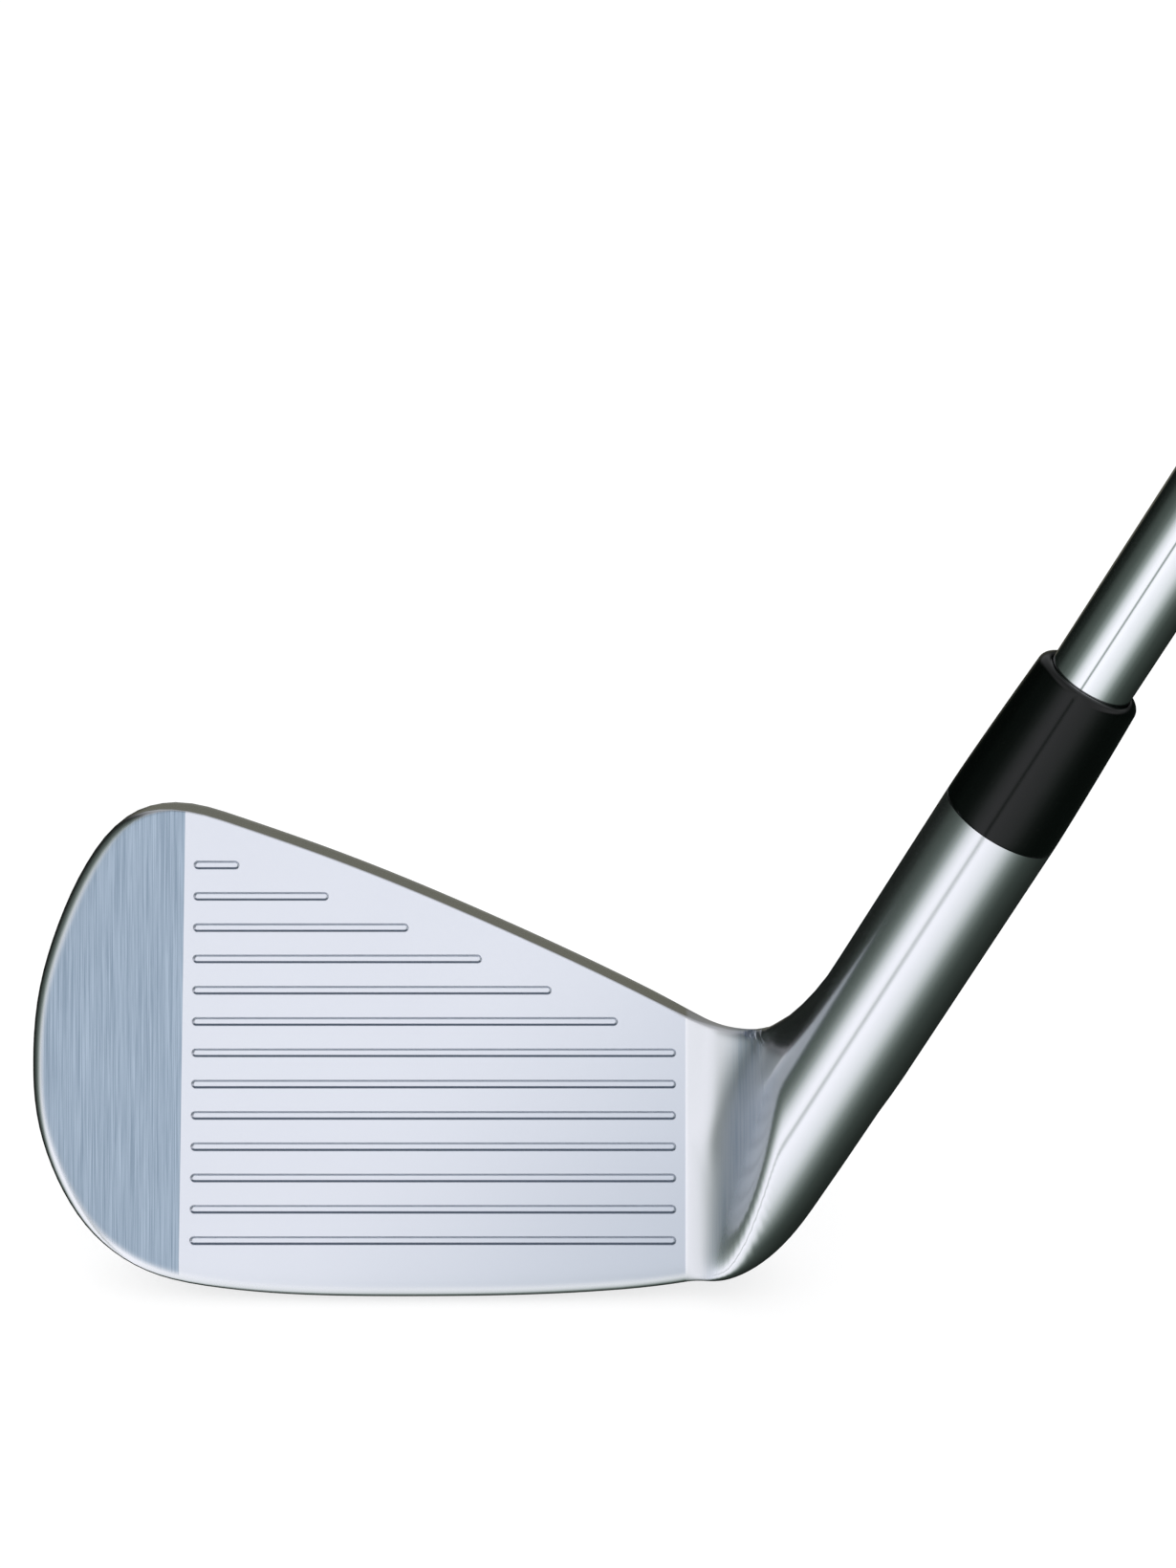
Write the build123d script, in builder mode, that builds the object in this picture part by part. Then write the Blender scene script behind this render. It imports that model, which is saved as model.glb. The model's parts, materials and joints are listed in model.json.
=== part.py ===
"""Iron golf club, right-handed mid iron, in millimetres.

The origin is the middle of the hitting face. +X runs from toe to hosel, -Y points at the
target and +Z is up. The club stands at address: the face leans back by LOFT and the shaft
leans away from the ground by LIE.
"""
from build123d import *
from math import cos, hypot, radians, sin, sqrt, tan
import os

os.makedirs("parts", exist_ok=True)

# Driving dimensions
LOFT = 28.0
LIE = 62.5
CLUB_LENGTH = 952.5
GROUND_Z = -20.2
AXIS_GROUND_X = 31.4
AXIS_Y = -4.9

TOE_X = -45.9
TOE_V = 4.35
HEEL_LINE_X = 28.8
MILL_END_RADIUS = 13.0
MILL_DEPTH = 2.0
MILL_STRIP = 90.0
TOPLINE_THICKNESS = 5.7
TOPLINE_RISE = 1.3
TOPLINE_START_X = -24.0
SOLE_DEPTH = 14.2
SOLE_ANGLE = 27.5
FULL_BLADE_HEIGHT = 34.0
LEADING_EDGE_DROP = 1.45
LEADING_EDGE_TRIM = 3.3
TRAILING_EDGE_TRIM = 3.5
TOPLINE_FRONT_TRIM = 0.35
TOPLINE_BACK_TRIM = 1.4
TOE_EDGE_RADIUS = 2.2
TOE_BLEND_START = -42.0
TOE_BLEND_LENGTH = 16.0
BACK_HOLLOW = 4.5
PROUD = 0.1
TOE_REACH = 18.0
TOE_SECTIONS = 9
TOE_CROWDING = 2.2
BLADE_SECTIONS = 7

GROOVE_COUNT = 13
GROOVE_PITCH = 3.56
GROOVE_WIDTH = 0.8
GROOVE_DEPTH = 0.4
LOWEST_GROOVE_V = -16.1
GROOVE_TOE_X = -27.7
GROOVE_HEEL_X = 27.75
GROOVE_CLEARANCE = 5.7
GROOVE_LEAN = 0.6

HOSEL_DIAMETER = 13.2
HOSEL_TOP = 66.6
CROTCH_X = 35.1
CROTCH_Z = 7.75
CROTCH_RADIUS = 3.0
NECK_STEP = 0.08
NECK_ANGLES = (0, 12, 24, 36, 49, LIE)
NECK_TURN_BEFORE = 6.3
NECK_TURN_LENGTH = 15.0
NECK_SQUARENESS = 6
BORE_DEPTH = 33.0
GLUE_GAP = 0.2

FERRULE_LENGTH = 19.0
FERRULE_TOP_DIAMETER = 11.9
FERRULE_RIM_RADIUS = 1.0
SHAFT_TIP_DIAMETER = 9.4
SHAFT_BUTT_DIAMETER = 15.24
SHAFT_WALL = 0.45
SHAFT_STEPS = 14
STEP_SPACING = 32.0
TIP_SECTION_LENGTH = 235.0
STEP_RAMP = 1.2
PLUG_FLANGE = 1.0
PLUG_LENGTH = 16.0
PLUG_CHAMFER = 0.8

GRIP_LENGTH = 266.0
GRIP_MOUTH_DIAMETER = 18.2
GRIP_BUTT_DIAMETER = 26.4
GRIP_WAIST_DIAMETER = 20.6
MOUTH_LIP = 0.7
TAPE_THICKNESS = 0.2
CAP_THICKNESS = 4.0
CAP_PLUG = 7.0
CAP_PLUG_WALL = 2.6
CAP_EDGE_RADIUS = 2.5
VENT_DIAMETER = 3.2
GRIP_WAIST_SHARE = 0.55
BAND_LENGTH = 42.0
BAND_THICKNESS = 0.12
BAND_GAP = 28.0

# Frames worked out from the driving dimensions
SIN_LOFT, COS_LOFT = sin(radians(LOFT)), cos(radians(LOFT))
SIN_LIE, COS_LIE = sin(radians(LIE)), cos(radians(LIE))
AXIS = Vector(COS_LIE, 0, SIN_LIE)
AXIS_GROUND = Vector(AXIS_GROUND_X, AXIS_Y, GROUND_Z)
HOSEL_RADIUS = HOSEL_DIAMETER / 2
NECK_RADIUS = HOSEL_RADIUS + NECK_STEP
NECK_TOP = (CROTCH_X - AXIS_GROUND_X) * COS_LIE + (CROTCH_Z - GROUND_Z) * SIN_LIE
FACE_PLANE = Plane(origin=(0, 0, 0), x_dir=(1, 0, 0), z_dir=(0, -COS_LOFT, SIN_LOFT))


def axis_plane(distance):
    """Plane square to the shaft axis, `distance` up the axis from the ground."""
    return Plane(origin=AXIS_GROUND + AXIS * distance, x_dir=(0, 1, 0), z_dir=AXIS)


def smooth_step(t):
    """Ease from 0 to 1 with level ends."""
    t = max(0.0, min(1.0, t))
    return t * t * (3 - 2 * t)


def mix(a, b, t):
    """The point a fraction t of the way from a to b."""
    return (a[0] + (b[0] - a[0]) * t, a[1] + (b[1] - a[1]) * t)


def towards(a, b, distance):
    """The point `distance` from a on the way to b, stopping short of the middle."""
    nearly_half = 0.45
    return mix(a, b, min(distance / hypot(b[0] - a[0], b[1] - a[1]), nearly_half))


# The blade's outline, seen square to the face, as toe-to-heel curves above and below
UPPER_EDGE = Edge.make_spline(
    [
        Vector(TOE_X, TOE_V),
        Vector(-43.9, 17.2),
        Vector(-38.9, 28.1),
        Vector(-34.2, 32.9),
        Vector(-29.4, 34.1),
        Vector(-23.1, 32.75),
        Vector(-10.0, 28.15),
        Vector(7.4, 20.9),
        Vector(24.8, 12.7),
        Vector(31.3, 9.6),
        Vector(38.0, 7.4),
    ],
)
LOWER_EDGE = Edge.make_spline(
    [
        Vector(TOE_X, TOE_V),
        Vector(-44.0, -6.7),
        Vector(-39.2, -14.7),
        Vector(-32.6, -19.2),
        Vector(-25.3, -20.95),
        Vector(-3.5, -22.05),
        Vector(20.4, -21.35),
        Vector(29.1, -20.35),
        Vector(38.0, -17.3),
    ],
)


def outline_at(edge, x):
    """Height of an outline curve above station x, and the cosine of its slope there."""
    low, high = 0.0, 1.0
    for _ in range(40):
        middle = (low + high) / 2
        if edge.position_at(middle).X < x:
            low = middle
        else:
            high = middle
    slope = edge.tangent_at(low)
    return edge.position_at(low).Y, max(abs(slope.X), 0.05)


def rounded_ring(corners, trims, hollow):
    """Closed chain of cubic curves round four corners, as eight lists of control points.

    corners run front top, front bottom, rear bottom, rear top. trims holds the length cut
    from each side at each corner, (before, after). hollow is how far the back is drawn in.
    """
    count = len(corners)
    starts, ends = [], []
    for i, corner in enumerate(corners):
        before, after = corners[i - 1], corners[(i + 1) % count]
        starts.append(towards(corner, before, trims[i][0]))
        ends.append(towards(corner, after, trims[i][1]))
    chain = []
    for i in range(count):
        following = (i + 1) % count
        side_start, side_end = ends[i], starts[following]
        first_inner = mix(side_start, side_end, 1 / 3)
        second_inner = mix(side_start, side_end, 2 / 3)
        if i == 2:
            first_inner = (first_inner[0] + 0.6 * hollow, first_inner[1])
            second_inner = (second_inner[0] + hollow, second_inner[1])
        side = [side_start, first_inner, second_inner, side_end]
        corner = corners[following]
        turn_end = ends[following]
        turn = [side_end, mix(side_end, corner, 0.6), mix(turn_end, corner, 0.6), turn_end]
        chain.extend([side, turn])
    return chain


def blade_ring(x):
    """Blade section at station x, as control points in (y, z)."""
    inset = x - TOE_X
    toe = 1 - smooth_step((x - TOE_BLEND_START) / TOE_BLEND_LENGTH)
    top, top_cosine = outline_at(UPPER_EDGE, x)
    bottom, bottom_cosine = outline_at(LOWER_EDGE, x)
    rounding = max(0.0, TOE_EDGE_RADIUS - inset)
    set_back = TOE_EDGE_RADIUS - sqrt(max(0.0, TOE_EDGE_RADIUS**2 - rounding**2))
    front = PROUD - set_back
    top -= TOPLINE_RISE * (1 - toe)
    # The blade's depth and the hollow of its back fade out as its outline closes at the toe
    body = min(1.0, (top - bottom) / FULL_BLADE_HEIGHT)
    sole_depth = SOLE_DEPTH * body + (TOPLINE_THICKNESS + 1.0) * (1 - body)
    sole_rise = tan(radians(SOLE_ANGLE)) * sole_depth * body**2
    bottom -= LEADING_EDGE_DROP * smooth_step(inset / 8)
    corners = [
        (front, top),
        (front, bottom),
        (-sole_depth + set_back, bottom + sole_rise),
        (-TOPLINE_THICKNESS + set_back, top + TOPLINE_RISE * (1 - toe)),
    ]
    topline_trim = TOPLINE_FRONT_TRIM + (TOE_EDGE_RADIUS - TOPLINE_FRONT_TRIM) * toe
    trims = [
        (topline_trim, topline_trim / top_cosine),
        (LEADING_EDGE_TRIM / bottom_cosine, LEADING_EDGE_TRIM),
        (TRAILING_EDGE_TRIM, TRAILING_EDGE_TRIM / bottom_cosine),
        (TOPLINE_BACK_TRIM, TOPLINE_BACK_TRIM),
    ]
    ring = rounded_ring(corners, trims, BACK_HOLLOW * body**2)
    return [[(v * SIN_LOFT - w * COS_LOFT, v * COS_LOFT + w * SIN_LOFT) for w, v in curve] for curve in ring]


# Where each side and each corner of the blade's ring ends up round the hosel, in degrees
HOSEL_ARCS = [140, 220, 240, 300, 325, 400, 425, 475, 500]


def ellipse_ring(centre_y, centre_h, half_height):
    """The hosel's section in the same eight curves, as control points in (y, height)."""
    ring = []
    for start, end in zip(HOSEL_ARCS, HOSEL_ARCS[1:]):
        a, b = radians(start), radians(end)
        reach = 4 / 3 * tan((b - a) / 4)
        curve = [
            (cos(a), sin(a)),
            (cos(a) - reach * sin(a), sin(a) + reach * cos(a)),
            (cos(b) + reach * sin(b), sin(b) - reach * cos(b)),
            (cos(b), sin(b)),
        ]
        ring.append([(centre_y + NECK_RADIUS * px, centre_h + half_height * py) for px, py in curve])
    return ring


def blend_rings(first, second, t):
    """Ring a fraction t of the way from one ring to another."""
    return [[mix(p, q, t) for p, q in zip(a, b)] for a, b in zip(first, second)]


def neck_ring(angle, turned):
    """Neck section on the plane that has turned by `angle` about the crotch centre."""
    base = blade_ring(CROTCH_X)
    lowest = min(p[1] for curve in base for p in curve)
    highest = max(p[1] for curve in base for p in curve)
    lean = radians(LIE - angle)
    tube_end = (CROTCH_RADIUS + HOSEL_DIAMETER) / cos(lean)
    sole_end = (CROTCH_Z - lowest) / cos(radians(angle))
    reach = (tube_end**-NECK_SQUARENESS + sole_end**-NECK_SQUARENESS) ** (-1 / NECK_SQUARENESS)
    scale = (reach - CROTCH_RADIUS) / (highest - lowest)
    stretched = [[(y, -CROTCH_RADIUS + (z - highest) * scale) for y, z in curve] for curve in base]
    tube = ellipse_ring(AXIS_Y, -(reach + CROTCH_RADIUS) / 2, (reach - CROTCH_RADIUS) / 2 + NECK_STEP)
    return blend_rings(stretched, tube, turned)


def head_sections():
    """Every section of the head's skin from toe to hosel, as (plane, ring)."""
    sections = []
    for step in range(1, TOE_SECTIONS + 1):
        x = TOE_X + TOE_REACH * (step / TOE_SECTIONS) ** TOE_CROWDING
        sections.append((x, blade_ring(x)))
    for step in range(1, BLADE_SECTIONS + 1):
        x = TOE_X + TOE_REACH + (HEEL_LINE_X - TOE_X - TOE_REACH) * step / BLADE_SECTIONS
        sections.append((x, blade_ring(x)))
    sections = [(Plane(origin=(x, 0, 0), x_dir=(0, 1, 0), z_dir=(1, 0, 0)), ring) for x, ring in sections]
    for angle in NECK_ANGLES:
        turned_by = NECK_TURN_BEFORE + NECK_TURN_LENGTH * angle / LIE
        turned = smooth_step(turned_by / (NECK_TURN_BEFORE + NECK_TURN_LENGTH))
        direction = (cos(radians(angle)), 0, sin(radians(angle)))
        plane = Plane(origin=(CROTCH_X, 0, CROTCH_Z), x_dir=(0, 1, 0), z_dir=direction)
        sections.append((plane, neck_ring(angle, turned)))
    return sections


def section_wire(plane, ring):
    """One section of the skin as a closed wire of eight cubic curves."""
    curves = [[plane.from_local_coords(Vector(*point)) for point in curve] for curve in ring]
    return Wire([Edge.make_bezier(*curve) for curve in curves])


def groove_heel_end(v):
    """Heel end of the score line at height v: clear of the topline, and short of the heel line."""
    low, high = TOPLINE_START_X, CROTCH_X
    for _ in range(30):
        middle = (low + high) / 2
        if outline_at(UPPER_EDGE, middle)[0] > v + GROOVE_CLEARANCE:
            low = middle
        else:
            high = middle
    return min(low, GROOVE_HEEL_X)


SKIN = Solid.make_loft([section_wire(plane, ring) for plane, ring in head_sections()])

with BuildPart() as iron_head:
    add(SKIN)
    with BuildSketch(axis_plane(NECK_TOP)):
        Circle(HOSEL_RADIUS)
    extrude(amount=HOSEL_TOP - NECK_TOP)
    # The face is milled flat as far as the heel line, where the cutter leaves a concave end
    mill_origin = FACE_PLANE.from_local_coords((0, -MILL_STRIP / 2, 0))
    mill_run_out = sqrt(MILL_END_RADIUS**2 - (MILL_END_RADIUS - MILL_DEPTH) ** 2)
    with BuildSketch(Plane(origin=mill_origin, x_dir=(1, 0, 0), z_dir=FACE_PLANE.y_dir)):
        with BuildLine():
            far_corner = (HEEL_LINE_X + mill_run_out, -MILL_DEPTH)
            Polyline((HEEL_LINE_X, 0), (2 * TOE_X, 0), (2 * TOE_X, -MILL_DEPTH), far_corner)
            RadiusArc(far_corner, (HEEL_LINE_X, 0), -MILL_END_RADIUS)
        make_face()
    extrude(amount=MILL_STRIP, mode=Mode.SUBTRACT)
    # Score lines with round ends
    for row in range(GROOVE_COUNT):
        v = LOWEST_GROOVE_V + GROOVE_PITCH * row
        toe_end = GROOVE_TOE_X + tan(radians(GROOVE_LEAN)) * GROOVE_PITCH * row
        heel_end = groove_heel_end(v)
        length = heel_end - toe_end - GROOVE_WIDTH
        with BuildSketch(FACE_PLANE):
            with Locations(((toe_end + heel_end) / 2, v)):
                SlotCenterToCenter(length, GROOVE_WIDTH)
    extrude(amount=-GROOVE_DEPTH, mode=Mode.SUBTRACT)
    # Shaft bore
    with BuildSketch(axis_plane(HOSEL_TOP)):
        Circle(SHAFT_TIP_DIAMETER / 2 + GLUE_GAP)
    extrude(amount=-BORE_DEPTH, mode=Mode.SUBTRACT)

iron_head.part.label = "iron_head"
export_step(iron_head.part, "parts/iron_head.step")

# The pieces on the shaft axis are revolved: profile x is the radius, y the height up the axis
PROFILE_PLANE = Plane(origin=AXIS_GROUND, x_dir=(0, 1, 0), z_dir=AXIS.cross(Vector(0, 1, 0)) * -1)
SHAFT_AXIS = Axis(AXIS_GROUND, AXIS)
BORE_RADIUS = SHAFT_TIP_DIAMETER / 2 + GLUE_GAP
TIP_RADIUS = SHAFT_TIP_DIAMETER / 2
BUTT_RADIUS = SHAFT_BUTT_DIAMETER / 2
BORE_BOTTOM = HOSEL_TOP - BORE_DEPTH
SHAFT_BOTTOM = BORE_BOTTOM + PLUG_FLANGE
SHAFT_TOP = CLUB_LENGTH - CAP_THICKNESS
GRIP_BOTTOM = CLUB_LENGTH - GRIP_LENGTH
BAND_BOTTOM = GRIP_BOTTOM - BAND_GAP - BAND_LENGTH

with BuildPart() as hosel_epoxy:
    with BuildSketch(axis_plane(SHAFT_BOTTOM)):
        Circle(BORE_RADIUS)
        Circle(TIP_RADIUS, mode=Mode.SUBTRACT)
    extrude(amount=HOSEL_TOP - SHAFT_BOTTOM)

hosel_epoxy.part.label = "hosel_epoxy"
export_step(hosel_epoxy.part, "parts/hosel_epoxy.step")

with BuildPart() as tip_weight:
    with BuildSketch(axis_plane(BORE_BOTTOM)):
        Circle(TIP_RADIUS)
    extrude(amount=PLUG_FLANGE)
    with BuildSketch(axis_plane(SHAFT_BOTTOM)):
        Circle(TIP_RADIUS - SHAFT_WALL)
    extrude(amount=PLUG_LENGTH)
    chamfer(tip_weight.edges().filter_by(GeomType.CIRCLE).sort_by(SHAFT_AXIS)[-1], PLUG_CHAMFER)

tip_weight.part.label = "tip_weight"
export_step(tip_weight.part, "parts/tip_weight.step")

with BuildPart() as ferrule:
    with BuildSketch(PROFILE_PLANE):
        with BuildLine():
            rim = HOSEL_TOP + FERRULE_LENGTH
            base_edge = (HOSEL_RADIUS, HOSEL_TOP)
            shoulder = (FERRULE_TOP_DIAMETER / 2, rim - FERRULE_RIM_RADIUS)
            lip = (FERRULE_TOP_DIAMETER / 2 - FERRULE_RIM_RADIUS, rim)
            Polyline((TIP_RADIUS, rim), (TIP_RADIUS, HOSEL_TOP), base_edge)
            belly = (HOSEL_RADIUS - 0.25 * (HOSEL_RADIUS - shoulder[0]), HOSEL_TOP + FERRULE_LENGTH / 2)
            ThreePointArc(base_edge, belly, shoulder)
            RadiusArc(shoulder, lip, -FERRULE_RIM_RADIUS)
            Line(lip, (TIP_RADIUS, rim))
        make_face()
    revolve(axis=SHAFT_AXIS)

ferrule.part.label = "ferrule"
export_step(ferrule.part, "parts/ferrule.step")


def shaft_wall(inset):
    """Points up one wall of the stepped tube, `inset` inside its outer surface."""
    rise = (BUTT_RADIUS - TIP_RADIUS) / SHAFT_STEPS
    height = SHAFT_BOTTOM + TIP_SECTION_LENGTH
    points = [(TIP_RADIUS - inset, SHAFT_BOTTOM)]
    for step in range(SHAFT_STEPS):
        radius = TIP_RADIUS - inset + rise * step
        points.append((radius, height))
        points.append((radius + rise, height + STEP_RAMP))
        height += STEP_SPACING
    points.append((BUTT_RADIUS - inset, SHAFT_TOP))
    return points


with BuildPart() as shaft:
    with BuildSketch(PROFILE_PLANE):
        with BuildLine():
            Polyline(*shaft_wall(0), *reversed(shaft_wall(SHAFT_WALL)), close=True)
        make_face()
    revolve(axis=SHAFT_AXIS)

shaft.part.label = "shaft"
export_step(shaft.part, "parts/shaft.step")

with BuildPart() as grip_tape:
    with BuildSketch(axis_plane(GRIP_BOTTOM)):
        Circle(BUTT_RADIUS + TAPE_THICKNESS)
        Circle(BUTT_RADIUS, mode=Mode.SUBTRACT)
    extrude(amount=SHAFT_TOP - GRIP_BOTTOM)

grip_tape.part.label = "grip_tape"
export_step(grip_tape.part, "parts/grip_tape.step")

with BuildPart() as shaft_band:
    with BuildSketch(axis_plane(BAND_BOTTOM)):
        Circle(BUTT_RADIUS + BAND_THICKNESS)
        Circle(BUTT_RADIUS, mode=Mode.SUBTRACT)
    extrude(amount=BAND_LENGTH)

shaft_band.part.label = "shaft_band"
export_step(shaft_band.part, "parts/shaft_band.step")

with BuildPart() as grip:
    with BuildSketch(PROFILE_PLANE):
        with BuildLine():
            core = BUTT_RADIUS + TAPE_THICKNESS
            mouth = (GRIP_MOUTH_DIAMETER / 2, GRIP_BOTTOM)
            butt = (GRIP_BUTT_DIAMETER / 2, SHAFT_TOP)
            waist = (GRIP_WAIST_DIAMETER / 2, GRIP_BOTTOM + GRIP_WAIST_SHARE * GRIP_LENGTH)
            Polyline(butt, (core, SHAFT_TOP), (core, GRIP_BOTTOM), mouth)
            Spline(mouth, waist, butt)
        make_face()
    revolve(axis=SHAFT_AXIS)
    mouth_edges = grip.edges().filter_by(GeomType.CIRCLE).group_by(SHAFT_AXIS)[0]
    fillet(mouth_edges.sort_by(SortBy.RADIUS)[-1], MOUTH_LIP)

grip.part.label = "grip"
export_step(grip.part, "parts/grip.step")

with BuildPart() as grip_cap:
    with BuildSketch(axis_plane(SHAFT_TOP)):
        Circle(GRIP_BUTT_DIAMETER / 2)
    extrude(amount=CAP_THICKNESS)
    fillet(grip_cap.edges().filter_by(GeomType.CIRCLE).sort_by(SHAFT_AXIS)[-1], CAP_EDGE_RADIUS)
    with BuildSketch(axis_plane(SHAFT_TOP)):
        Circle(BUTT_RADIUS - SHAFT_WALL)
        Circle(BUTT_RADIUS - SHAFT_WALL - CAP_PLUG_WALL, mode=Mode.SUBTRACT)
    extrude(amount=-CAP_PLUG)
    with BuildSketch(axis_plane(CLUB_LENGTH)):
        Circle(VENT_DIAMETER / 2)
    extrude(amount=-CAP_THICKNESS, mode=Mode.SUBTRACT)

grip_cap.part.label = "grip_cap"
export_step(grip_cap.part, "parts/grip_cap.step")
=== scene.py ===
import json
import math

import bmesh
import bpy
import numpy as np
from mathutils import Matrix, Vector


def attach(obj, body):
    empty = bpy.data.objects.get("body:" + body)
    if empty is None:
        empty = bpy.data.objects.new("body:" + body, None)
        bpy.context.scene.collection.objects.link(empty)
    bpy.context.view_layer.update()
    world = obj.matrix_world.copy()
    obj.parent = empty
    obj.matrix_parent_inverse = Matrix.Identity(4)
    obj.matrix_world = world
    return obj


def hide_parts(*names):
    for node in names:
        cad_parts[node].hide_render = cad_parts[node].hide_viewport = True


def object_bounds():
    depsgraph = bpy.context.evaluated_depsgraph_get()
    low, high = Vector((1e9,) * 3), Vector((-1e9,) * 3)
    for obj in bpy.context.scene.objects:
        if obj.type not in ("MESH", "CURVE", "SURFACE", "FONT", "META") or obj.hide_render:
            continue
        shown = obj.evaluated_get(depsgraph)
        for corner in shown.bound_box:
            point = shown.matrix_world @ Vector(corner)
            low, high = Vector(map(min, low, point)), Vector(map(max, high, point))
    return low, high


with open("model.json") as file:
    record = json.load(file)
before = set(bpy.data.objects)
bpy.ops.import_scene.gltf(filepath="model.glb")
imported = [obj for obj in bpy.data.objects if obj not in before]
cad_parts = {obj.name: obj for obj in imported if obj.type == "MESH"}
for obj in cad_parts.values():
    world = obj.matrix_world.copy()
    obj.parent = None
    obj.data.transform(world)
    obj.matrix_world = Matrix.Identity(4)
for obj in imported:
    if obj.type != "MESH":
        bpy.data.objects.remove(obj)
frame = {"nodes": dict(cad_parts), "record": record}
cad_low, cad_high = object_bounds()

MM = 0.001

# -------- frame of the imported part
MOUNTS = {mount["name"]: mount for mount in frame["record"]["mounts"]}
FACE_NORMAL = np.array(MOUNTS["hitting_face"]["axis"])
SIN_LOFT, COS_LOFT = FACE_NORMAL[2], -FACE_NORMAL[1]
FACE_UP = np.array([0.0, SIN_LOFT, COS_LOFT])
AXIS = np.array(MOUNTS["vent_hole"]["axis"])
LIE = math.atan2(AXIS[2], AXIS[0])
CLUB_LENGTH = 952.5
VENT_HOLE_DEPTH = MOUNTS["vent_hole"]["dims"]["length_mm"]
VENT_HOLE_RADIUS = MOUNTS["vent_hole"]["dims"]["r_mm"]
AXIS_GROUND = np.array(MOUNTS["vent_hole"]["pos_m"]) / MM - AXIS * (CLUB_LENGTH - VENT_HOLE_DEPTH / 2)
ACROSS_AXIS = np.array([-AXIS[2], 0.0, AXIS[0]])


def span(node):
    """Lowest and highest point of a CAD node up the axis, and its largest radius."""
    points = np.array([v.co for v in frame["nodes"][node].data.vertices]) / MM - AXIS_GROUND
    heights = points @ AXIS
    radii = np.linalg.norm(points - np.outer(heights, AXIS), axis=1)
    return heights.min(), heights.max(), radii.max()


FERRULE_BOTTOM, FERRULE_TOP, HOSEL_RADIUS = span("ferrule")
HOSEL_TOP = FERRULE_BOTTOM
BORE_BOTTOM = span("tip_weight")[0]
BORE_RADIUS = span("hosel_epoxy")[2]
SHAFT_BOTTOM, SHAFT_TOP, BUTT_RADIUS = span("shaft")
TIP_RADIUS = span("tip_weight")[2]
GRIP_BOTTOM, GRIP_TOP, GRIP_BUTT_RADIUS = span("grip")
BAND_BOTTOM, BAND_TOP, BAND_RADIUS = span("shaft_band")

# -------- driving dimensions, mm
HEEL_LINE = 28.8
TOE_LINE_TOP, TOE_LINE_BOTTOM = -28.1, -28.9
TOE_POINT = (-46.5, 4.35)
UPPER_EDGE_POINTS = [
    TOE_POINT, (-43.9, 17.2), (-38.9, 28.1), (-34.2, 32.9), (-29.4, 34.13), (-23.1, 32.75),
    (-10.05, 28.15), (7.4, 20.9), (24.8, 12.72), (31.3, 9.6), (38.0, 7.4), (50.0, 5.6),
]
LOWER_EDGE_POINTS = [
    TOE_POINT, (-44.0, -6.7), (-39.2, -14.7), (-32.6, -19.2), (-25.3, -20.95), (-3.5, -22.04),
    (20.4, -21.35), (29.1, -20.35), (35.65, -18.5), (40.0, -15.6), (46.5, -8.2), (52.0, 0.0),
]
TOE_FADE_START, TOE_FADE = -42.0, 16.0
PANEL_THICKNESS = 5.6
MUSCLE_THICKNESS = 11.2
TOPLINE_BAND = 1.3
TOPLINE_RISE, TOE_RISE = 0.23, 0.05
# Widths over which edges are rounded, and how much wider they get towards the hosel
TOPLINE_EDGE, TOE_EDGE, FRONT_EDGE_GROWTH = 0.45, 3.65, 1.6
BACK_EDGE, BACK_EDGE_GROWTH = 2.4, 4.0
SOLE_EDGE = 3.9
SOLE_DROP = 1.35
SOLE_SLOPE, SOLE_TOE_SLOPE = 0.50, 0.12
SOLE_CAMBER, SOLE_WIDTH = 0.36, 17.0
HEEL_FADE_START, HEEL_FADE = 24.0, 14.0
CROTCH = np.array([35.1, 0.0, 7.75])
CROTCH_RADIUS = 3.0
MIN_FILLET, MAX_FILLET = 4.0, 13.0
CUTTER_RADIUS = 4.0

GROOVE_COUNT = 13
GROOVE_PITCH = 3.564
LOWEST_GROOVE = -16.1
GROOVE_TOE_END = -27.7
GROOVE_LEAN = 0.0115
GROOVE_HEEL_END = 27.75
GROOVE_CLEARANCE = 5.7
# Half of a score line's section as (distance from its middle, height above the face)
GROOVE_SECTION = [
    (0.70, 0.30), (0.56, 0.03), (0.52, -0.01), (0.47, -0.05), (0.43, -0.11),
    (0.39, -0.24), (0.32, -0.34), (0.22, -0.40), (0.10, -0.42),
]

TIP_SECTION = 235.0
STEP_COUNT = 14
STEP_SPACING = 32.0
STEP_RAMP = 1.2
SHAFT_WALL = 0.45
GRIP_MOUTH_RADIUS = 9.1
GRIP_WAIST_RADIUS, GRIP_WAIST_SHARE = 10.3, 0.55
CAP_PLUG = 7.0
CAP_PLUG_WALL = 2.6


# -------- shape functions
def smooth_min(a, b, width):
    """Minimum whose corner is rounded over `width`."""
    overlap = np.maximum(width - np.abs(a - b), 0) / width
    return np.minimum(a, b) - overlap**3 * width / 6


def smooth_max(a, b, width):
    """Maximum whose corner is rounded over `width`."""
    return -smooth_min(-a, -b, width)


def ease(t):
    """0 to 1 with level, evenly curved ends."""
    t = np.clip(t, 0, 1)
    return t**3 * (t * (6 * t - 15) + 10)


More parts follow.
